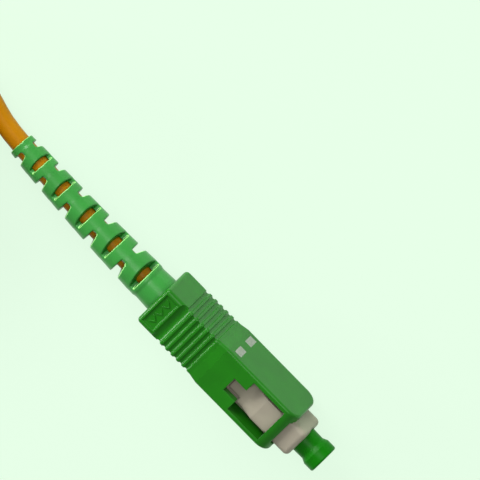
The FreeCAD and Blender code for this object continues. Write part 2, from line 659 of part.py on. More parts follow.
def stop_ring():
    """The ring that closes the frame and carries the crimp on a ringed stem."""
    inside = "chamber_radius - stop_clearance"
    flange_rear = "-frame_rear - stop_flange_length"
    body = turned_body("stop_ring", [
        ("-stop_front", "stop_bore_radius"), ("-stop_front", inside), ("-frame_rear", inside),
        ("-frame_rear", "stop_flange_radius"), (flange_rear, "stop_flange_radius"),
        (flange_rear, "stem_radius"), ("-stem_rear", "stem_radius"),
        ("-stem_rear", "stop_bore_radius")])
    ring = new_sketch(body, "stem_ring", "XZ_Plane")
    add_loop(ring, [("-crimp_front - stem_ring_pitch / 2", "stem_radius + stem_ring_margin"),
                    ("-crimp_front - stem_ring_pitch", "stem_radius + stem_ring_margin"),
                    ("-crimp_front - stem_ring_pitch", "stem_radius - stem_ring_depth"),
                    ("-crimp_front - stem_ring_pitch / 2", "stem_radius - stem_ring_depth")])
    cut = turn(body, "Groove", ring)
    repeat_along(body, "stem_rings", cut, ring, "stem_ring_count", "stem_ring_pitch")
    return body


def aramid_yarn():
    """The cable's yarn, fanned over the stem and clamped by the crimp sleeve."""
    over_stem = "stem_radius + yarn_thickness"
    inner = "buffer_radius + 2 * buffer_clearance"
    return turned_body("aramid_yarn", [
        ("-crimp_front - yarn_setback", "stem_radius"),
        ("-crimp_front - yarn_setback", over_stem),
        ("-stem_rear - yarn_turn", over_stem), ("-crimp_neck_front", "jacket_bore_radius"),
        ("-jacket_bore_rear", "jacket_bore_radius"), ("-jacket_bore_rear", inner),
        ("-crimp_shoulder - yarn_turn", inner), ("-stem_rear", "stem_radius")])


def crimp_sleeve():
    """One stepped tube: wide over the stem and the yarn, narrow over the jacket."""
    over_stem = "stem_radius + yarn_thickness"
    return turned_body("crimp_sleeve", [
        ("-crimp_front", over_stem), ("-crimp_front", over_stem + " + crimp_wall"),
        ("-crimp_shoulder", over_stem + " + crimp_wall"),
        ("-crimp_neck_front", "cable_radius + crimp_wall"),
        ("-crimp_rear", "cable_radius + crimp_wall"), ("-crimp_rear", "cable_radius"),
        ("-crimp_neck_front", "cable_radius"), ("-crimp_shoulder", over_stem)])


# ---------------------------------------------------------------- sagging boot and cable

def sag_direction():
    """Return the unit vector, square to X, in which boot and cable sag."""
    roll = math.radians(size("bend_roll"))
    return VEC(0, math.sin(roll), -math.cos(roll))


def sag_place(behind):
    """Return the placement of the sagging axis at a distance behind the front face.

    Its X axis runs along the cable towards the nose.
    """
    past = behind - size("bend_start")
    if past <= 0:
        return FreeCAD.Placement(VEC(-behind, 0, 0), FreeCAD.Rotation())
    radius = size("bend_radius")
    angle = past / radius
    down = sag_direction()
    place = VEC(-size("bend_start") - radius * math.sin(angle), 0, 0)
    place += down * (radius * (1 - math.cos(angle)))
    turned = FreeCAD.Rotation((X_AXIS * -1).cross(down), math.degrees(angle))
    return FreeCAD.Placement(place, turned)


def ring_wire(behind, radius):
    """Return a circle square to the sagging axis."""
    place = sag_place(behind)
    circle = Part.makeCircle(radius, place.Base, place.Rotation.multVec(X_AXIS))
    return Part.Wire([circle])


def sagging_rod(start, end, radius):
    """Return a round rod along the sagging axis, straight as far as the bend's start."""
    bend = size("bend_start")
    straight = Part.makeCylinder(radius, bend - start, VEC(-start, 0, 0), X_AXIS * -1)
    down = sag_direction()
    centre = VEC(-bend, 0, 0) + down * size("bend_radius")
    disc = Part.Face(ring_wire(bend, radius))
    angle = math.degrees((end - bend) / size("bend_radius"))
    bent = disc.revolve(centre, (X_AXIS * -1).cross(down), angle)
    return straight.fuse(bent).removeSplitter()


def slot_cutter(facing):
    """Return two opposite wedges that cut a slot pair from both sides.

    One wall of a slot is upright: the front one where the slots face up and down,
    the rear one where they are at the sides.
    """
    root, top = size("slot_root"), size("boot_collar_radius + over_cut")
    lean = (top - root) * math.tan(math.radians(size("slot_flare")))
    rear, front = ((size("face_slot_rear"), size("face_slot_front")) if facing else
                   (size("side_slot_rear"), size("side_slot_front")))
    corners = [VEC(rear, 0, root), VEC(front, 0, root),
               VEC(front if facing else front + lean, 0, top),
               VEC(rear - lean if facing else rear, 0, top)]
    wedge = Part.Face(Part.makePolygon(corners + corners[:1])).extrude(Y_AXIS * (2 * top))
    wedge.translate(Y_AXIS * -top)
    opposite = wedge.copy()
    opposite.rotate(VEC(0, 0, 0), X_AXIS, 180)
    return Part.Compound([wedge, opposite])


def slot_places():
    """Return each slot's distance behind the front face."""
    place, gap, places = size("slot_first"), size("slot_gap"), []
    for _ in range(int(size("slot_count"))):
        places.append(place)
        place += gap
        gap -= size("slot_gap_shrink")
    return places


def sagging_link(start, end, wide, narrow):
    """Return one cone set along the sagging axis, reaching a little way into the one before."""
    here, there = sag_place(start).Base, sag_place(end).Base
    way = there - here
    share = size("link_lap") / way.Length
    foot = here - way * share
    return Part.makeCone(wide + (wide - narrow) * share, narrow, way.Length * (1 + share),
                         foot, way)


def boot_skin():
    """Return the boot as if it were solid: a turned front and a cone for each rib."""
    collar, body = size("boot_collar_radius"), size("boot_body_radius")
    front, tail, step = size("boot_front"), size("boot_tail_radius"), size("rib_step")
    taper_start, taper_end = size("boot_body_start"), size("boot_ring_start")

    def radius_at(behind):
        return body + (tail - body) * (behind - taper_start) / (taper_end - taper_start)

    places = slot_places()
    outline = [(front, 0), (front, collar), (size("boot_neck_start"), collar),
               (size("boot_neck_end"), size("boot_neck_radius")), (taper_start, body),
               (places[0], radius_at(places[0])), (places[0], 0)]
    corners = [VEC(-behind, radius, 0) for behind, radius in outline]
    skin = Part.Face(Part.makePolygon(corners + corners[:1])).revolve(VEC(0, 0, 0), X_AXIS, 360)
    for start, end in zip(places, places[1:] + [taper_end]):
        skin = skin.fuse(sagging_link(start, end, radius_at(start) + step, radius_at(end)))
    ring = size("boot_ring_radius")
    return skin.fuse(sagging_link(taper_end, size("boot_rear"), ring, ring - step))


def strain_relief_boot():
    """The soft tapered boot, slotted from alternate sides so that it flexes."""
    shape = boot_skin()
    front, room, step = size("boot_front"), size("boot_clearance"), size("rib_step")
    places, margin, past = slot_places(), size("cut_margin"), size("over_cut")
    for radius, end in (("stem_radius + yarn_thickness + crimp_wall", "crimp_neck_front"),
                        ("cable_radius + crimp_wall", "crimp_rear")):
        shape = shape.cut(Part.makeCylinder(size(radius) + room, size(end) + margin - front + past,
                                            VEC(past - front, 0, 0), X_AXIS * -1))
    lane, taper = size("cable_radius") + room, size("bore_taper")
    shape = shape.cut(Part.makeCylinder(lane, places[0] - front, VEC(-front, 0, 0), X_AXIS * -1))
    for number, (start, end) in enumerate(zip(places, places[1:] + [size("boot_rear") + past])):
        radius = lane + step * ((number + 1) % 2)
        shape = shape.cut(sagging_link(start, end, radius, radius - taper))
    for number, behind in enumerate(places):
        cutter = slot_cutter(facing=number % 2 == 0)
        cutter.rotate(VEC(0, 0, 0), X_AXIS, -size("slot_clock") + 90 * (number % 2))
        cutter.Placement = sag_place(behind).multiply(cutter.Placement)
        for wedge in cutter.Solids:
            shape = shape.cut(wedge)
    boot = doc.addObject("Part::Feature", "strain_relief_boot")
    boot.Shape = shape.Solids[0]
    boot.Label = "strain_relief_boot"
    return boot


def cable_jacket():
    """The cable's jacket inside the boot, opened for the yarn at its front end."""
    jacket = sagging_rod(size("crimp_neck_front"), size("boot_rear"), size("cable_radius"))
    front = size("crimp_neck_front")
    opened = Part.makeCylinder(size("jacket_bore_radius"), size("jacket_bore_rear") - front + 1,
                               VEC(1 - front, 0, 0), X_AXIS * -1)
    feature = doc.addObject("Part::Feature", "cable_jacket")
    feature.Shape = jacket.cut(opened)
    feature.Label = "cable_jacket"
    return feature


# ---------------------------------------------------------------- free cable

def rounded_route(points):
    """Return straight runs joined by arcs that are tangent to both, and their radii."""
    edges, radii, start = [], [], points[0]
    for before, corner, after in zip(points, points[1:], points[2:]):
        towards, onward = (before - corner), (after - corner)
        reach = ARC_SHARE * min(towards.Length, onward.Length)
        towards.normalize()
        onward.normalize()
        half_turn = (math.pi - towards.getAngle(onward)) / 2
        radius = reach / math.tan(half_turn)
        enter, leave = corner + towards * reach, corner + onward * reach
        bisector = (towards + onward).normalize()
        middle = corner + bisector * (radius / math.cos(half_turn) - radius)
        edges.append(Part.LineSegment(start, enter).toShape())
        edges.append(Part.Arc(enter, middle, leave).toShape())
        radii.append(radius)
        start = leave
    edges.append(Part.LineSegment(start, points[-1]).toShape())
    return Part.Wire(edges), radii


def cable_run():
    """The free cable from the boot's tail to the coil."""
    tail = sag_place(size("boot_rear"))
    points = [tail.Base] + [VEC(*point) for point in CABLE_ROUTE]
    path, radii = rounded_route(points)
    radius = size("cable_radius")
    first = (points[1] - points[0]).normalize()
    disc = Part.Wire([Part.makeCircle(radius, points[0], first)])
    run = path.makePipeShell([disc], True, False)
    print("cable run: length %.2f mm, radii %s, volume over section %.4f" % (
        path.Length, ", ".join("%.1f" % r for r in radii),
        run.Volume / (math.pi * radius ** 2 * path.Length)))
    feature = doc.addObject("Part::Feature", "cable_run")
    feature.Shape = run
    feature.Label = "cable_run"
    return feature


def cable_coil():
    """The outer shape of the coiled rest of the cable, lying on the ground."""
    low, high = size("-housing_height / 2"), size("coil_top")
    inner, outer = size("coil_inner_radius"), size("coil_outer_radius")
    outline = Part.makePolygon([VEC(inner, 0, low), VEC(outer, 0, low), VEC(outer, 0, high),
                                VEC(inner, 0, high), VEC(inner, 0, low)])
    ring = Part.Face(outline).revolve(VEC(0, 0, 0), Z_AXIS, 360)
    circles = [edge for edge in ring.Edges if edge.Closed]
    feature = doc.addObject("Part::Feature", "cable_coil")
    feature.Shape = ring.makeChamfer(size("coil_bevel"), circles)
    feature.Placement = FreeCAD.Placement(VEC(COIL_CENTRE[0], COIL_CENTRE[1], 0), FreeCAD.Rotation())
    feature.Label = "cable_coil"
    return feature


# ---------------------------------------------------------------- dust cap

def dust_cap():
    """The waisted dust cap, gripping the ferrule inside the nose."""
    bore = "ferrule_radius + cap_fit"
    floor = "ferrule_tip + cap_end_room"
    body = turned_body("dust_cap", [
        ("-cap_rear", bore), ("-cap_rear", "cap_skirt_radius"),
        ("nose_length - cap_flare_length", "cap_skirt_radius"), ("nose_length", "cap_neck_radius"),
        ("cap_waist", "cap_waist_radius"), ("cap_rim", "cap_rim_radius"),
        ("cap_tip", "cap_rim_radius"), ("cap_tip", "0"), (floor, "0"), (floor, bore)])
    round_edges(body, "cap_tip_edge", "cap_tip_round",
                lambda edge: near(edge.CenterOfMass.x, "cap_tip") and edge.Length > 8)
    return body


# ---------------------------------------------------------------- build and export

PARTS = [
    outer_housing(), insertion_marks(), plug_frame(), ferrule(), bare_fibre(), ferrule_flange(),
    buffered_fibre(), guide_tube(), ferrule_spring(), stop_ring(), aramid_yarn(), crimp_sleeve(),
    strain_relief_boot(), cable_jacket(), cable_run(), cable_coil(), dust_cap(),
]
doc.recompute()

for item in doc.Objects:
    if "Invalid" in item.State or "Error" in item.State:
        raise RuntimeError("%s failed: %s" % (item.Name, item.State))
for part in PARTS:
    if part.Shape.isNull() or not part.Shape.isValid():
        raise RuntimeError("%s has no valid shape" % part.Label)

os.makedirs("parts", exist_ok=True)
for part in PARTS:
    part.Shape.exportStep("parts/%s.step" % part.Label)
    box = part.Shape.BoundBox
    print("%-20s %d solid(s) %9.3f mm3  X %.2f..%.2f  Y %.2f..%.2f  Z %.2f..%.2f" % (
        part.Label, len(part.Shape.Solids), part.Shape.Volume,
        box.XMin, box.XMax, box.YMin, box.YMax, box.ZMin, box.ZMax))
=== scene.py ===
"""Dress a push-pull fibre plug: green housing, inner frame, boot, cap and coiled cable.

In the shared frame X runs along the plug towards its nose, Y out of the face with the
two pale marks and Z out of one window face. The plug lies on its other window face.
Lengths are in metres unless a name or docstring says otherwise.
"""

import functools
import itertools
import logging
import math
from dataclasses import dataclass, field
from enum import Enum
from typing import Any, Iterable

import bmesh
import bpy
from mathutils import Matrix, Vector

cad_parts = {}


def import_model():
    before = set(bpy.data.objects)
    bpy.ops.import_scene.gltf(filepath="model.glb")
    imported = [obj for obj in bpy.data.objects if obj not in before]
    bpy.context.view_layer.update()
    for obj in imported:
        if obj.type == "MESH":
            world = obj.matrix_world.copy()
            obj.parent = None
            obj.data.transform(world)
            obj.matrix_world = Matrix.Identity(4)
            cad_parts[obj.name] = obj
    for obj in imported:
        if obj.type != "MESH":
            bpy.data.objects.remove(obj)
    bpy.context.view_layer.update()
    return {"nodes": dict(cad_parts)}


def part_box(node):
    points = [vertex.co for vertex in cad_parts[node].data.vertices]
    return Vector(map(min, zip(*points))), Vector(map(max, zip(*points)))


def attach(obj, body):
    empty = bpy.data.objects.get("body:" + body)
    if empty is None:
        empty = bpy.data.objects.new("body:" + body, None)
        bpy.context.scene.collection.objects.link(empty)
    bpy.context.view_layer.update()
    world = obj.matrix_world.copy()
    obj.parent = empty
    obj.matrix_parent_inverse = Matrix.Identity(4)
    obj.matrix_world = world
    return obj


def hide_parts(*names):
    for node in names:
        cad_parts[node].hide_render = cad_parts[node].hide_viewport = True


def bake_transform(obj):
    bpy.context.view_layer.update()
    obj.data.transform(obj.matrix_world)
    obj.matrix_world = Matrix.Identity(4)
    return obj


LOG = logging.getLogger("fibre_plug")
MM = 0.001
BEVEL_SAMPLES = 6
FEW_OCTAVES = 2.0
MORE_OCTAVES = 3.0

Colour = tuple[float, float, float]
Triple = tuple[float, float, float]
Band = tuple[float, float]


# ---------------------------------------------------------------- shader maths

@dataclass(frozen=True)
class Value:
    """One number that varies over a surface, as a socket that Python maths works on."""

    bench: "Bench"
    socket: Any

    def _maths(self, operation: str, first: Any, second: Any) -> "Value":
        """Add a Math node.

        Args:
            operation: the Math node's operation.
            first: its first value or socket.
            second: its second value or socket.

        Returns:
            The node's result.
        """
        node = self.bench.node("ShaderNodeMath", {"operation": operation},
                               {0: first, 1: second})
        return Value(self.bench, node.outputs[0])

    def __add__(self, other: Any) -> "Value":
        """Return self + other."""
        return self._maths("ADD", self, other)

    __radd__ = __add__

    def __sub__(self, other: Any) -> "Value":
        """Return self - other."""
        return self._maths("SUBTRACT", self, other)

    def __rsub__(self, other: Any) -> "Value":
        """Return other - self."""
        return self._maths("SUBTRACT", other, self)

    def __mul__(self, other: Any) -> "Value":
        """Return self * other."""
        return self._maths("MULTIPLY", self, other)

    __rmul__ = __mul__

    def around(self, middle: float, swing: float) -> "Value":
        """Return values that swing about a middle as self goes from 0 to 1.

        Args:
            middle: the result where self is a half.
            swing: the whole range of the result.

        Returns:
            The swinging value.
        """
        return (self - 0.5) * swing + middle

    def within(self, low: float, high: float) -> "Value":
        """Return the share, from 0 to 1, that self has gone from low to high, smoothly.

        Args:
            low: where the share is 0.
            high: where it is 1.

        Returns:
            The eased share.
        """
        node = self.bench.node(
            "ShaderNodeMapRange", {"interpolation_type": "SMOOTHSTEP"},
            {"Value": self, "From Min": low, "From Max": high,
             "To Min": 0.0, "To Max": 1.0})
        return Value(self.bench, node.outputs["Result"])


class Bench:
    """A material's node tree with one way of adding any node to it."""

    def __init__(self, name: str) -> None:
        """Start an empty tree for a material.

        Args:
            name: the material's name.
        """
        self.material = bpy.data.materials.new(name)
        self.material.use_nodes = True
        self.tree = self.material.node_tree
        self.tree.nodes.clear()
        self.place = self.node("ShaderNodeTexCoord", {}, {}).outputs["Object"]

    def node(self, kind: str, settings: dict[str, Any], inputs: dict[Any, Any]) -> Any:
        """Add one node, set it up and feed it.

        Args:
            kind: the node's type name.
            settings: its properties.
            inputs: values or links by socket name or number.

        Returns:
            The new node.
        """
        made = self.tree.nodes.new(kind)
        for key, setting in settings.items():
            setattr(made, key, setting)
        for key, given in inputs.items():
            source = given.socket if isinstance(given, Value) else given
            if isinstance(source, bpy.types.NodeSocket):
                self.tree.links.new(source, made.inputs[key])
            else:
                made.inputs[key].default_value = source
        return made

    def noise(self, waves: float | Triple, detail: float) -> Value:
        """Return noise from 0 to 1 in the object's own coordinates.

        Args:
            waves: how many there are in a metre, everywhere or along each axis.
            detail: octaves, each half as wide as the one before.

        Returns:
            The noise.
        """
        along_axes = waves if isinstance(waves, tuple) else (waves, waves, waves)
        at = self.node("ShaderNodeMapping", {},
                       {"Vector": self.place, "Scale": along_axes})
        made = self.node("ShaderNodeTexNoise", {"noise_dimensions": "3D"},
                         {"Vector": at.outputs[0], "Scale": 1.0, "Detail": detail})
        return Value(self, made.outputs["Fac"])

    def mix(self, share: Any, first: Any, second: Any) -> Any:
        """Return a colour between two colours.

        Args:
            share: 0 for the first, 1 for the second.
            first: a colour or socket.
            second: a colour or socket.

        Returns:
            The mixed colour's socket.
        """
        made = self.node("ShaderNodeMix", {"data_type": "RGBA"},
                         {0: share, 6: opaque(first), 7: opaque(second)})
        return made.outputs[2]

    def bump(self, height: Value, distance: float, strength: float,
             normal: Any = None) -> Any:
        """Return a normal that a height field has tilted.

        Args:
            height: the field, from 0 to 1.
            distance: how tall a height of 1 is, in metres.
            strength: share of the effect.
            normal: the normal below it, if not the surface's own.

        Returns:
            The normal's socket.
        """
        feeds = {"Height": height, "Distance": distance, "Strength": strength}
        if normal is not None:
            feeds["Normal"] = normal
        return self.node("ShaderNodeBump", {}, feeds).outputs["Normal"]

    def soft_edges(self, radius: float) -> Any:
        """Return the socket of a normal that rounds the edges by a radius."""
        made = self.node("ShaderNodeBevel", {"samples": BEVEL_SAMPLES},
                         {"Radius": radius})
        return made.outputs["Normal"]

    def lean(self) -> Value:
        """Return which way the surface faces: 1 to the nose, -1 to the cable."""
        normal = self.node("ShaderNodeNewGeometry", {}, {}).outputs["Normal"]
        parts = self.node("ShaderNodeSeparateXYZ", {}, {0: normal})
        return Value(self, parts.outputs["X"])

    def finish(self, inputs: dict[str, Any]) -> bpy.types.Material:
        """Close the tree with a Principled shader.

        Args:
            inputs: the shader's values and links.

        Returns:
            The finished material.
        """
        shader = self.node("ShaderNodeBsdfPrincipled", {}, inputs)
        self.node("ShaderNodeOutputMaterial", {}, {"Surface": shader.outputs[0]})
        return self.material


def opaque(colour: Any) -> Any:
    """Return a colour with full alpha, or the socket as it is."""
    return (*colour, 1.0) if isinstance(colour, tuple) and len(colour) == 3 else colour


def linear(level: int) -> float:
    """Return the linear light, from 0 to 1, of a screen level from 0 to 255.

    Args:
        level: the screen's level, on the usual curve of a straight foot and a power.

    Returns:
        The share of full light.
    """
    share = level / 255
    return share / 12.92 if share <= 0.04045 else ((share + 0.055) / 1.055) ** 2.4


def from_screen(red: int, green: int, blue: int) -> Colour:
    """Return the linear colour of a screen colour given from 0 to 255."""
    return linear(red), linear(green), linear(blue)


def scaled(colour: Colour, factor: float) -> Colour:
    """Return a colour made darker or paler by a factor, kept at 1 or below."""
    return tuple(min(1.0, level * factor) for level in colour)


# ---------------------------------------------------------------- finishes

@dataclass(frozen=True)
class MouldedPlastic:
    """Injection-moulded plastic with a fine sparked skin and slightly soft edges.

    A soft part may have a painted highlight, a paler colour on its rounded edges that
    face the cable, and painted shade, a darker colour on its walls that face the nose.
    The cloud is the slight unevenness of its colour.
    """

    name: str
    colour: Colour
    roughness: float = 0.32
    roughness_swing: float = 0.1
    specular: float = 0.33
    skin: float = 0.006 * MM
    skin_strength: float = 0.6
    skin_waves: float = 9000.0
    edge: float = 0.14 * MM
    cloud_waves: float = 260.0
    cloud_band: Band = (0.35, 0.65)
    shade: float = 0.9
    painted_highlight: Colour | None = None
    highlight_rise: Band = (-0.92, -0.75)
    highlight_fall: Band = (-0.55, -0.35)
    painted_shade: Colour | None = None
    shade_band: Band = (0.4, 0.8)

    def material(self) -> bpy.types.Material:
        """Return the finish as a material."""
        bench = Bench(self.name)
        cloud = bench.noise(self.cloud_waves, FEW_OCTAVES).within(*self.cloud_band)
        colour = bench.mix(cloud, scaled(self.colour, self.shade), self.colour)
        if self.painted_highlight and self.painted_shade:
            lean = bench.lean()
            # Painted shade: a darker colour on walls that face the nose.
            colour = bench.mix(lean.within(*self.shade_band), colour, self.painted_shade)
            # Painted highlight: a paler colour on rounded edges that face the cable.
            highlight_mask = lean.within(*self.highlight_rise) * (1 - lean.within(*self.highlight_fall))
            colour = bench.mix(highlight_mask, colour, self.painted_highlight)
        skin = bench.noise(self.skin_waves, FEW_OCTAVES)
        return bench.finish({
            "Base Color": colour,
            "Roughness": skin.around(self.roughness, self.roughness_swing),
            "Normal": bench.bump(skin, self.skin, self.skin_strength,
                                 bench.soft_edges(self.edge)),
            "Specular IOR Level": self.specular})


@dataclass(frozen=True)
class CableSkin:
    """Extruded jacket plastic, finely uneven from the die."""

    name: str
    colour: Colour
    roughness: float = 0.38
    roughness_swing: float = 0.12
    specular: float = 0.12
    skin: float = 0.012 * MM
    skin_strength: float = 0.5
    skin_waves: float = 2600.0
    cloud_waves: float = 140.0
    cloud_band: Band = (0.3, 0.7)
    shade: float = 0.86

    def material(self) -> bpy.types.Material:
        """Return the finish as a material."""
        bench = Bench(self.name)
        cloud = bench.noise(self.cloud_waves, MORE_OCTAVES).within(*self.cloud_band)
        skin = bench.noise(self.skin_waves, FEW_OCTAVES)
        return bench.finish({
            "Base Color": bench.mix(cloud, scaled(self.colour, self.shade),
                                    self.colour),
            "Roughness": skin.around(self.roughness, self.roughness_swing),
            "Normal": bench.bump(skin, self.skin, self.skin_strength),
            "Specular IOR Level": self.specular})


@dataclass(frozen=True)
class TurnedMetal:
    """Plated or bare metal with fine rings from the lathe."""

    name: str
    colour: Colour
    roughness: float
    roughness_swing: float = 0.15
    ring_depth: float = 0.004 * MM
    ring_strength: float = 0.5
    ring_waves: Triple = (16000.0, 600.0, 600.0)
    edge: float = 0.04 * MM
    cloud_waves: float = 500.0
    cloud_band: Band = (0.3, 0.75)
    shade: float = 0.8

    def material(self) -> bpy.types.Material:
        """Return the finish as a material."""
        bench = Bench(self.name)
        rings = bench.noise(self.ring_waves, FEW_OCTAVES)
        cloud = bench.noise(self.cloud_waves, MORE_OCTAVES)
        return bench.finish({
            "Base Color": bench.mix(cloud.within(*self.cloud_band), self.colour,
                                    scaled(self.colour, self.shade)),
            "Metallic": 1.0,
            "Roughness": cloud.around(self.roughness, self.roughness_swing),
            "Normal": bench.bump(rings, self.ring_depth, self.ring_strength,
                                 bench.soft_edges(self.edge))})


@dataclass(frozen=True)
class PolishedCeramic:
    """Zirconia, ground and polished."""

    name: str
    colour: Colour
    roughness: float = 0.12
    roughness_swing: float = 0.06
    specular: float = 0.7
    coat: float = 0.3
    cloud_waves: float = 700.0
    shade: float = 0.94

    def material(self) -> bpy.types.Material:
        """Return the finish as a material."""
        bench = Bench(self.name)
        cloud = bench.noise(self.cloud_waves, MORE_OCTAVES)
        return bench.finish({
            "Base Color": bench.mix(cloud, scaled(self.colour, self.shade),
                                    self.colour),
            "Roughness": cloud.around(self.roughness, self.roughness_swing),
            "Coat Weight": self.coat,
            "Specular IOR Level": self.specular})


@dataclass(frozen=True)
class StrengthYarn:
    """Bundled aramid filaments that run along the cable."""

    name: str
    colour: Colour
    roughness: float = 0.55
    sheen: float = 0.3
    strand_depth: float = 0.05 * MM
    strand_strength: float = 0.9
    strand_waves: Triple = (260.0, 9000.0, 9000.0)
    strand_band: Band = (0.35, 0.6)
    shade: float = 0.62

    def material(self) -> bpy.types.Material:
        """Return the finish as a material."""
        bench = Bench(self.name)
        strands = bench.noise(self.strand_waves, MORE_OCTAVES)
        return bench.finish({
            "Base Color": bench.mix(strands.within(*self.strand_band),
                                    scaled(self.colour, self.shade), self.colour),
            "Roughness": self.roughness,
            "Sheen Weight": self.sheen,
            "Normal": bench.bump(strands, self.strand_depth, self.strand_strength)})


@dataclass(frozen=True)
class MarkPaint:
    """Pale paint in the two shallow recesses, with fine specks."""

    name: str
    colour: Colour
    roughness: float = 0.55
    roughness_swing: float = 0.2
    speck_depth: float = 0.01 * MM
    speck_strength: float = 0.5
    speck_waves: float = 4200.0
    speck_band: Band = (0.35, 0.6)
    shade: float = 0.8

    def material(self) -> bpy.types.Material:
        """Return the finish as a material."""
        bench = Bench(self.name)
        specks = bench.noise(self.speck_waves, MORE_OCTAVES)
        return bench.finish({
            "Base Color": bench.mix(specks.within(*self.speck_band),
                                    scaled(self.colour, self.shade), self.colour),
            "Roughness": specks.around(self.roughness, self.roughness_swing),
            "Normal": bench.bump(specks, self.speck_depth, self.speck_strength)})


@dataclass(frozen=True)
class ClearResin:
    """Clear or milky resin and glass, for the guide tube and the fibre."""

    name: str
    colour: Colour
    clear: float
    roughness: float
    roughness_swing: float = 0.06
    refraction: float = 1.46
    cloud_waves: float = 900.0
    shade: float = 0.92

    def material(self) -> bpy.types.Material:
        """Return the finish as a material."""
        bench = Bench(self.name)
        cloud = bench.noise(self.cloud_waves, FEW_OCTAVES)
        return bench.finish({
            "Base Color": bench.mix(cloud, scaled(self.colour, self.shade),
                                    self.colour),
            "Roughness": cloud.around(self.roughness, self.roughness_swing),
            "Transmission Weight": self.clear,
            "IOR": self.refraction})


@dataclass(frozen=True)
class WovenBand:
    """Hook-and-loop band: a dull fine weave with a fuzz on it."""

    name: str
    colour: Colour
    roughness: float = 0.87
    roughness_swing: float = 0.1
    sheen: float = 0.4
    row_waves: Triple = (2500.0, 2500.0, 5200.0)
    row_band: Band = (0.35, 0.7)
    row_share: float = 0.6
    fuzz_waves: float = 7000.0
    depth: float = 0.05 * MM
    strength: float = 0.8
    pale: float = 2.2

    def material(self) -> bpy.types.Material:
        """Return the finish as a material."""
        bench = Bench(self.name)
        rows = bench.noise(self.row_waves, FEW_OCTAVES)
        fuzz = bench.noise(self.fuzz_waves, MORE_OCTAVES)
        weave = rows * self.row_share + fuzz * (1 - self.row_share)
        return bench.finish({
            "Base Color": bench.mix(rows.within(*self.row_band), self.colour,
                                    scaled(self.colour, self.pale)),
            "Roughness": fuzz.around(self.roughness, self.roughness_swing),
            "Sheen Weight": self.sheen,
            "Normal": bench.bump(weave, self.depth, self.strength)})


class Finish(Enum):
    """Every finish on the plug."""

    housing_green = MouldedPlastic("housing_green", from_screen(25, 118, 7))
    # The boot's pale edge colour is a painted highlight and its dark wall colour is
    # painted shade.
    boot_green = MouldedPlastic(
        "boot_green", from_screen(54, 146, 57), roughness=0.3, specular=0.42,
        edge=0.05 * MM, painted_highlight=from_screen(165, 235, 135), painted_shade=from_screen(16, 100, 22))
    cap_green = MouldedPlastic(
        "cap_green", from_screen(15, 118, 4), roughness=0.36, specular=0.12,
        edge=0.06 * MM)
    frame_beige = MouldedPlastic(
        "frame_beige", from_screen(165, 158, 140), roughness=0.45, edge=0.4 * MM,
        shade=0.88)
    mark_paint = MarkPaint("mark_paint", from_screen(158, 163, 152))
    zirconia = PolishedCeramic("zirconia", from_screen(240, 238, 232))
    silica = ClearResin(
        "silica", from_screen(230, 236, 238), clear=0.85, roughness=0.05)
    nickel_plate = TurnedMetal("nickel_plate", from_screen(196, 192, 184), 0.285)
    buffer_white = CableSkin("buffer_white", from_screen(235, 235, 230), 0.42)
    tube_clear = ClearResin(
        "tube_clear", from_screen(226, 232, 230), clear=0.6, roughness=0.25)
    spring_steel = TurnedMetal("spring_steel", from_screen(176, 176, 178), 0.245)
    ring_metal = TurnedMetal("ring_metal", from_screen(188, 184, 176), 0.345)
    yarn_yellow = StrengthYarn("yarn_yellow", from_screen(222, 190, 84))
    crimp_metal = TurnedMetal("crimp_metal", from_screen(190, 188, 184), 0.305)
    jacket_orange = CableSkin("jacket_orange", from_screen(186, 122, 1))
    tie_black = WovenBand("tie_black", from_screen(38, 38, 42))

    @property
    def in_record(self) -> bool:
        """Tell whether this finish is any but the band's."""
        return self is not Finish.tie_black

    @functools.cache
    def material(self) -> bpy.types.Material:
        """Return the finish's material, which is made once."""
        return self.value.material()


def dress(piece: bpy.types.Object, finish: Finish) -> bpy.types.Object:
    """Give a piece its finish.

    Args:
        piece: the object to dress.
        finish: the finish it gets.

    Returns:
        The same object.
    """
    piece.data.materials.clear()
    piece.data.materials.append(finish.material())
    return piece


def placed(name: str, data: Any) -> bpy.types.Object:
    """Put a mesh, curve, lamp or camera into the scene as an object.

    Args:
        name: the object's name.
        data: what it shows.

    Returns:
        The new object, at the origin.
    """
    thing = bpy.data.objects.new(name, data)
    bpy.context.scene.collection.objects.link(thing)
    return thing


def object_from(mesh: bmesh.types.BMesh, name: str) -> bpy.types.Object:
    """Turn a bmesh into an object in the scene.

    Args:
        mesh: the shape, in the shared frame; it is freed.
        name: the object's name.

    Returns:
        The new object.
    """
    data = bpy.data.meshes.new(name)
    mesh.to_mesh(data)
    mesh.free()
    return placed(name, data)


def piece_from(mesh: bmesh.types.BMesh, name: str, body: str | None,
               finish: Finish) -> bpy.types.Object:
    """Turn a bmesh into a dressed piece.

    Args:
        mesh: the shape, in the shared frame; it is freed.
        name: the piece's name.
        body: the frame's body that carries it, or none where it stretches between two.
        finish: the finish it gets.

    Returns:
        The new object.
    """
    bmesh.ops.recalc_face_normals(mesh, faces=mesh.faces)
    piece = object_from(mesh, name)
    if body:
        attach(piece, body)
    LOG.info("%s: %d faces", name, len(piece.data.polygons))
    return dress(piece, finish)


# ---------------------------------------------------------------- relief on the housing

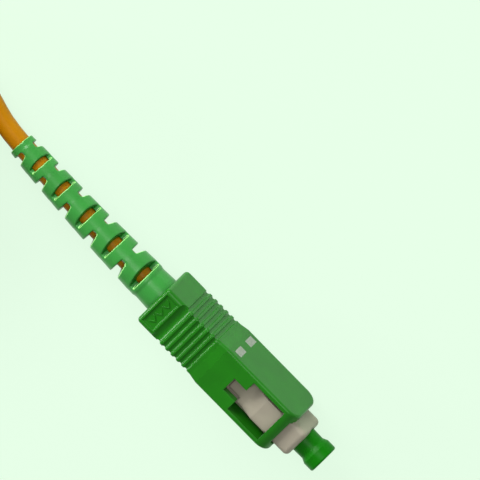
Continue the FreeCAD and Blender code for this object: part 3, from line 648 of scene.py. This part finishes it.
@dataclass
class PanelRelief:
    """Three low arrows towards the nose on each sunk panel of the rear block."""

    panel_middle: float = -24.32 * MM
    panel_floor: float = 4.07 * MM
    spacing: float = 1.55 * MM
    half_span: float = 0.62 * MM
    reach: float = 0.55 * MM
    stroke: float = 0.34 * MM
    height: float = 0.12 * MM
    edge: float = 0.04 * MM
    edge_steps: int = 2

    def arrow(self, mesh: bmesh.types.BMesh, across: float) -> None:
        """Add one arrow on the upper panel.

        Args:
            mesh: the shape it joins.
            across: its place over the panel's width.
        """
        outline = (
            (-self.reach, self.half_span), (self.stroke - self.reach, self.half_span),
            (self.reach, 0.0), (self.stroke - self.reach, -self.half_span),
            (-self.reach, -self.half_span), (self.reach - self.stroke, 0.0))
        corners = [mesh.verts.new((self.panel_middle + x, across + y, self.panel_floor))
                   for x, y in outline]
        foot = mesh.faces.new(corners)
        grown = bmesh.ops.extrude_face_region(mesh, geom=[foot])["geom"]
        top = [part for part in grown if isinstance(part, bmesh.types.BMVert)]
        bmesh.ops.translate(mesh, verts=top, vec=(0, 0, self.height))
        rim = [part for part in grown if isinstance(part, bmesh.types.BMEdge)]
        bmesh.ops.bevel(mesh, geom=rim, offset=self.edge, segments=self.edge_steps,
                        profile=0.5, affect="EDGES", material=-1)

    def build(self) -> None:
        """Make the arrows on both panels as one piece."""
        mesh = bmesh.new()
        for across in (-self.spacing, 0.0, self.spacing):
            self.arrow(mesh, across)
        bmesh.ops.mirror(mesh, geom=mesh.verts[:] + mesh.edges[:] + mesh.faces[:],
                         axis="Z", merge_dist=-1.0)
        piece_from(mesh, "panel_arrows", "housing", Finish.housing_green)


# ---------------------------------------------------------------- the boot

@dataclass
class SoftBoot:
    """The strain relief boot with the rounding that soft moulded plastic has."""

    weld: float = 0.0005 * MM
    grain_size: float = 0.1 * MM
    round_factor: float = 0.5
    round_passes: int = 16
    kept_share: float = 0.3

    def build(self, solid: bpy.types.Object) -> None:
        """Round every edge of the solid boot.

        Args:
            solid: the frame's boot.
        """
        mesh = bmesh.new()
        mesh.from_mesh(solid.data)
        bmesh.ops.remove_doubles(mesh, verts=mesh.verts[:], dist=self.weld)
        boot = piece_from(mesh, "soft_boot", "plug_core", Finish.boot_green)
        grain = boot.modifiers.new("even_grain", "REMESH")
        grain.mode = "VOXEL"
        grain.voxel_size = self.grain_size
        grain.use_smooth_shade = True
        rounding = boot.modifiers.new("rounding", "SMOOTH")
        rounding.factor = self.round_factor
        rounding.iterations = self.round_passes
        thinning = boot.modifiers.new("thinning", "DECIMATE")
        thinning.ratio = self.kept_share
        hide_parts("strain_relief_boot")


# ---------------------------------------------------------------- the ferrule's spring

@dataclass
class SpringCoils:
    """The round wire spring that the flange presses together as it moves back."""

    wire: float = 0.19 * MM
    coil: float = 1.45 * MM
    pitch: float = 1.1 * MM
    turn_steps: int = 28
    wire_flats: int = 12

    def build(self) -> None:
        """Wind the spring between the flange and the stop ring."""
        low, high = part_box("ferrule_spring")
        rear, front = low[0], high[0]
        turns = (front - rear - 2 * self.wire) / self.pitch
        mesh = bmesh.new()
        start = Matrix.Translation((rear + self.wire, self.coil, 0.0))
        bmesh.ops.create_circle(mesh, segments=self.wire_flats, radius=self.wire,
                                matrix=start)
        bmesh.ops.spin(
            mesh, geom=mesh.verts[:] + mesh.edges[:], cent=(0, 0, 0), axis=(1, 0, 0),
            dvec=(self.pitch / self.turn_steps, 0, 0), angle=math.tau * turns,
            steps=round(turns * self.turn_steps))
        ends = [edge for edge in mesh.edges if edge.is_boundary]
        bmesh.ops.holes_fill(mesh, edges=ends)
        spring = piece_from(mesh, "spring_coils", None, Finish.spring_steel)
        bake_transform(spring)
        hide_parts("ferrule_spring")


# ---------------------------------------------------------------- the free cable

def eased(share: float) -> float:
    """Return a share from 0 to 1, held at its ends and smoothed between them."""
    held = min(max(share, 0.0), 1.0)
    return held * held * (3 - 2 * held)


@dataclass
class Pigtail:
    """The cable from the boot's tail, along the ground and into a neat round coil.

    The bend is the boot's own. The route and the coil are in millimetres.
    """

    diameter: float = 3.0 * MM
    bend_start: float = 30.05 * MM
    bend_radius: float = 300.0 * MM
    bend_roll: float = math.radians(20.0)
    jacket_end: float = 55.08 * MM
    route: tuple[Triple, ...] = (
        (-58.45, 0.46, -1.25),
        (-62.6, 1.45, -2.00),
        (-67.0, 2.45, -2.70),
        (-71.3, 3.00, -3.00),
    )
    coil_centre: tuple[float, float] = (-75.2, -13.5)
    lanes: tuple[float, ...] = (16.5, 13.5)
    layers: tuple[float, ...] = (-3.0, -0.12, 2.76, 5.64, 8.52)
    tie_angle: float = math.radians(225.0)
    tie_lift: float = 0.26
    tie_reach: float = math.radians(32.0)
    first_turn: float = 0.25
    turn_points: int = 30
    cross_start: float = 0.72
    cross_end: float = 0.9
    curve_order: int = 3
    round_steps: int = 6
    smooth_steps: int = 3

    def exit(self) -> Vector:
        """Return the middle of the jacket where the boot lets it go."""
        angle = (self.jacket_end - self.bend_start) / self.bend_radius
        drop = self.bend_radius * (1 - math.cos(angle))
        down = Vector((0, math.sin(self.bend_roll), -math.cos(self.bend_roll)))
        start = Vector((-self.bend_start - self.bend_radius * math.sin(angle), 0, 0))
        return start + down * drop

    def coil_points(self) -> list[Vector]:
        """Return the coil's points: each turn ends by crossing to the next lane."""
        stops = []
        for number, height in enumerate(self.layers):
            lanes = self.lanes if number % 2 == 0 else self.lanes[::-1]
            stops += [(radius, height) for radius in lanes]
        points = []
        for here, there in zip(stops, stops[1:] + stops[-1:]):
            for step in range(self.turn_points):
                share = step / self.turn_points
                way = eased((share - self.cross_start)
                            / (self.cross_end - self.cross_start))
                radius = here[0] + (there[0] - here[0]) * way
                height = here[1] + (there[1] - here[1]) * way
                angle = math.tau * (share + self.first_turn)
                from_tie = abs(math.remainder(angle - self.tie_angle, math.tau))
                off = min(from_tie / self.tie_reach, 1.0)
                height += self.tie_lift * (1 + math.cos(math.pi * off)) / 2
                points.append(Vector((
                    self.coil_centre[0] + radius * math.cos(angle),
                    self.coil_centre[1] + radius * math.sin(angle), height)) * MM)
        return points

    def points(self) -> list[Vector]:
        """Return every control point from the boot to the cable's far end."""
        run = [Vector(point) * MM for point in self.route]
        return [self.exit()] + run + self.coil_points()

    def build(self) -> None:
        points = self.points()
        curve = bpy.data.curves.new("pigtail_cable", "CURVE")
        curve.dimensions = "3D"
        curve.bevel_depth = self.diameter / 2
        curve.bevel_resolution = self.round_steps
        curve.use_fill_caps = True
        curve.resolution_u = self.smooth_steps
        curve.render_resolution_u = self.smooth_steps
        spline = curve.splines.new("NURBS")
        spline.points.add(len(points) - 1)
        for control, point in zip(spline.points, points):
            control.co = (*point, 1.0)
        spline.order_u = self.curve_order
        spline.use_endpoint_u = True
        cable = dress(placed("pigtail_cable", curve), Finish.jacket_orange)
        length = sum((b - a).length for a, b in zip(points, points[1:]))
        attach(cable, "plug_core")
        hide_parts("cable_run", "cable_coil")
        cut_end = CutEnd(points[-1], points[-1] - points[-2])
        riders = [CoilTie(self).build(), *cut_end.build()]
        LOG.info("pigtail_cable: %.3f m long", length)


@dataclass
class CoilTie:
    """The hook-and-loop band that holds the coil, with its overlapping end."""

    pigtail: Pigtail
    width: float = 8.0 * MM
    thickness: float = 0.22 * MM
    inner: float = 11.75 * MM
    outer: float = 18.25 * MM
    low: float = -4.5 * MM
    high: float = 10.48 * MM
    corner: float = 1.6 * MM
    corner_steps: int = 6
    flap_length: float = 7.0 * MM
    flap_share: float = 0.98
    flap_sink: float = 0.4
    end_facing: float = 0.9

    @staticmethod
    def block(mesh: bmesh.types.BMesh, size: Triple, middle: Triple) -> None:
        """Add a block in the plane of the coil's section.

        Args:
            mesh: the shape it joins.
            size: its sides outwards, along the turns and upwards.
            middle: its middle, counted the same way.
        """
        place = Matrix.Translation(middle) @ Matrix.Diagonal((*size, 1.0))
        bmesh.ops.create_cube(mesh, size=1.0, matrix=place)

    def build(self) -> bpy.types.Object:
        """Make the band round the coil's section and return it."""
        mesh = bmesh.new()
        size = (self.outer - self.inner, self.width, self.high - self.low)
        middle = ((self.outer + self.inner) / 2, 0.0, (self.high + self.low) / 2)
        self.block(mesh, size, middle)
        along = [edge for edge in mesh.edges
                 if abs(edge.verts[0].co.y - edge.verts[1].co.y) > self.width / 2]
        bmesh.ops.bevel(mesh, geom=along, offset=self.corner,
                        segments=self.corner_steps, profile=0.5, affect="EDGES",
                        material=-1)
        ends = [face for face in mesh.faces if abs(face.normal.y) > self.end_facing]
        bmesh.ops.delete(mesh, geom=ends, context="FACES_ONLY")
        bmesh.ops.recalc_face_normals(mesh, faces=mesh.faces)
        bmesh.ops.solidify(mesh, geom=mesh.faces[:], thickness=self.thickness)
        flap = (self.thickness, self.width * self.flap_share, self.flap_length)
        flap_middle = (self.outer + self.thickness * self.flap_sink, 0.0, middle[2])
        self.block(mesh, flap, flap_middle)
        centre = Vector((*self.pigtail.coil_centre, 0.0)) * MM
        turn = Matrix.Rotation(self.pigtail.tie_angle, 4, "Z")
        bmesh.ops.transform(mesh, matrix=Matrix.Translation(centre) @ turn,
                            verts=mesh.verts)
        return piece_from(mesh, "coil_tie", "plug_core", Finish.tie_black)


@dataclass
class CutEnd:
    """The trimmed far end: the buffered fibre and a short tuft of yarn."""

    place: Vector
    way: Vector
    sink: float = 0.5 * MM
    buffer_radius: float = 0.45 * MM
    buffer_length: float = 4.0 * MM
    buffer_flats: int = 20
    yarn_radius: float = 0.09 * MM
    yarn_tip: float = 0.045 * MM
    yarn_flats: int = 6
    yarn_count: int = 10
    yarn_ring: float = 0.68 * MM
    yarn_length: float = 2.6 * MM
    length_shares: tuple[float, ...] = (0.75, 1.0, 11 / 12, 5 / 6)
    yarn_spread: float = math.radians(9.0)
    spread_shares: tuple[float, ...] = (0.6, 1.0, 1.4)

    @staticmethod
    def rod(mesh: bmesh.types.BMesh, place: Matrix, radius: float, length: float,
            tip: float, sides: int) -> None:
        """Add a rod that starts at a place and runs along its Z axis.

        Args:
            mesh: the shape it joins.
            place: where it starts.
            radius: its radius there.
            length: its length.
            tip: its radius at the far end.
            sides: how many flats it has.
        """
        bmesh.ops.create_cone(
            mesh, cap_ends=True, segments=sides, radius1=radius, radius2=tip,
            depth=length, matrix=place @ Matrix.Translation((0, 0, length / 2)))

    def build(self) -> list[bpy.types.Object]:
        """Make the fibre's end and the yarn and return both."""
        face = self.way.to_track_quat("Z", "Y").to_matrix().to_4x4()
        sunk = self.place - self.way.normalized() * self.sink
        start = Matrix.Translation(sunk) @ face
        core = bmesh.new()
        self.rod(core, start, self.buffer_radius, self.buffer_length + self.sink,
                 self.buffer_radius, self.buffer_flats)
        tuft = bmesh.new()
        foot = Matrix.Translation((self.yarn_ring, 0, 0))
        shares = zip(range(self.yarn_count), itertools.cycle(self.length_shares),
                     itertools.cycle(self.spread_shares))
        for number, length_share, spread_share in shares:
            spin = Matrix.Rotation(math.tau * number / self.yarn_count, 4, "Z")
            lean = Matrix.Rotation(self.yarn_spread * spread_share, 4, "Y")
            self.rod(tuft, start @ spin @ foot @ lean, self.yarn_radius,
                     self.yarn_length * length_share + self.sink, self.yarn_tip,
                     self.yarn_flats)
        return [piece_from(core, "cut_end_buffer", "plug_core", Finish.buffer_white),
                piece_from(tuft, "cut_end_yarn", "plug_core", Finish.yarn_yellow)]


# ---------------------------------------------------------------- the solids

@dataclass
class PlugDress:
    """Which finish each solid of the frame wears."""

    finishes: dict[str, Finish] = field(default_factory=lambda: {
        "outer_housing": Finish.housing_green,
        "insertion_marks": Finish.mark_paint,
        "plug_frame": Finish.frame_beige,
        "ferrule": Finish.zirconia,
        "bare_fibre": Finish.silica,
        "ferrule_flange": Finish.nickel_plate,
        "buffered_fibre": Finish.buffer_white,
        "guide_tube": Finish.tube_clear,
        "ferrule_spring": Finish.spring_steel,
        "stop_ring": Finish.ring_metal,
        "aramid_yarn": Finish.yarn_yellow,
        "crimp_sleeve": Finish.crimp_metal,
        "strain_relief_boot": Finish.boot_green,
        "cable_jacket": Finish.jacket_orange,
        "cable_run": Finish.jacket_orange,
        "cable_coil": Finish.jacket_orange,
        "dust_cap": Finish.cap_green,
    })

    def build(self, nodes: dict[str, bpy.types.Object]) -> None:
        """Dress every solid.

        Args:
            nodes: the frame's solids by name.
        """
        for name, node in nodes.items():
            dress(node, self.finishes[name])
            LOG.info("%s wears %s", name, self.finishes[name].name)


# ---------------------------------------------------------------- studio

@dataclass(frozen=True)
class Lamp:
    """One soft lamp: a bright rectangle that faces the plug."""

    name: str
    place: Triple
    width: float
    height: float
    watts: float

    def build(self, target: Vector) -> None:
        """Hang the lamp.

        Args:
            target: the point that it faces.
        """
        data = bpy.data.lights.new(self.name, "AREA")
        data.shape = "RECTANGLE"
        data.size, data.size_y = self.width, self.height
        data.energy = self.watts
        lamp = placed(self.name, data)
        lamp.location = self.place
        towards = target - Vector(self.place)
        lamp.rotation_euler = towards.to_track_quat("-Z", "Y").to_euler()


@dataclass
class Studio:
    """The pale floor, the soft lamps and the camera.

    The glow is the share of the floor that shows its own colour instead of the light
    on it. The lens is so long that the view has next to no perspective; the lens and
    the sensor are in millimetres, as a camera counts them.
    """

    floor_height: float = -4.5 * MM
    floor_reach: float = 1.2
    mint: Colour = from_screen(230, 254, 231)
    glow: float = 0.9
    sky: Colour = (1.0, 1.0, 1.0)
    sky_strength: float = 0.3
    lamps: tuple[Lamp, ...] = (
        Lamp("key_lamp", (-0.5, 0.21, 0.3), 0.6, 0.2, 4.1),
        Lamp("rear_lamp", (-0.5, -0.273, 0.182), 0.1, 0.1, 0.85),
        Lamp("top_lamp", (0.06, 0.28, 0.55), 0.3, 0.3, 1.15),
    )
    to_camera: Triple = (0.0, 0.455, 0.8905)
    aim_along: float = -23.77 * MM
    aim_across: float = 13.27 * MM
    roll: float = math.radians(45.5)
    view_width: float = 67.6 * MM
    lens: float = 1000.0
    sensor: float = 36.0
    near_share: float = 0.01

    def floor(self) -> None:
        """Lay the floor, which shows mostly its own colour but keeps the shadow."""
        mesh = bmesh.new()
        bmesh.ops.create_grid(mesh, x_segments=1, y_segments=1, size=self.floor_reach,
                              matrix=Matrix.Translation((0, 0, self.floor_height)))
        floor = object_from(mesh, "floor")
        bench = Bench("studio_floor")
        rays = bench.node("ShaderNodeLightPath", {}, {})
        seen = (Value(bench, rays.outputs["Is Camera Ray"])
                + Value(bench, rays.outputs["Is Glossy Ray"])
                + Value(bench, rays.outputs["Is Transmission Ray"]))
        matt = bench.node("ShaderNodeBsdfDiffuse", {}, {"Color": opaque(self.mint)})
        glow = bench.node("ShaderNodeEmission", {},
                          {"Color": opaque(self.mint), "Strength": 1.0})
        blend = bench.node("ShaderNodeMixShader", {}, {
            0: seen * self.glow, 1: matt.outputs[0], 2: glow.outputs[0]})
        bench.node("ShaderNodeOutputMaterial", {}, {"Surface": blend.outputs[0]})
        floor.data.materials.append(bench.material)

    def world(self) -> None:
        """Fill the sky with even soft light."""
        world = bpy.data.worlds.new("studio")
        bpy.context.scene.world = world
        world.use_nodes = True
        backdrop = world.node_tree.nodes["Background"]
        backdrop.inputs["Color"].default_value = opaque(self.sky)
        backdrop.inputs["Strength"].default_value = self.sky_strength

    def camera(self) -> None:
        """Set the camera, which looks down on the plug and is rolled against it."""
        back = Vector(self.to_camera).normalized()
        along = Vector((1, 0, 0))
        across = back.cross(along)
        right = along * math.cos(self.roll) + across * math.sin(self.roll)
        up = back.cross(right)
        aim = along * self.aim_along + across * self.aim_across
        data = bpy.data.cameras.new("camera")
        data.lens = self.lens
        data.sensor_width = self.sensor
        away = self.view_width * self.lens / self.sensor
        data.clip_start = away * self.near_share
        camera = placed("camera", data)
        turn = Matrix((right, up, back)).transposed().to_4x4()
        camera.matrix_world = Matrix.Translation(aim + back * away) @ turn
        bpy.context.scene.camera = camera

    def build(self) -> None:
        """Set up everything around the plug."""
        bpy.context.scene.view_settings.view_transform = "Standard"
        self.floor()
        self.world()
        for lamp in self.lamps:
            lamp.build(Vector((self.aim_along, 0, 0)))
        self.camera()


def main() -> None:
    """Build the dressed plug in its studio."""
    logging.basicConfig(level=logging.INFO, format="%(name)s: %(message)s")
    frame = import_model()
    PlugDress().build(frame["nodes"])
    PanelRelief().build()
    SpringCoils().build()
    SoftBoot().build(frame["nodes"]["strain_relief_boot"])
    Pigtail().build()
    Studio().build()


if __name__ == "__main__":
    main()
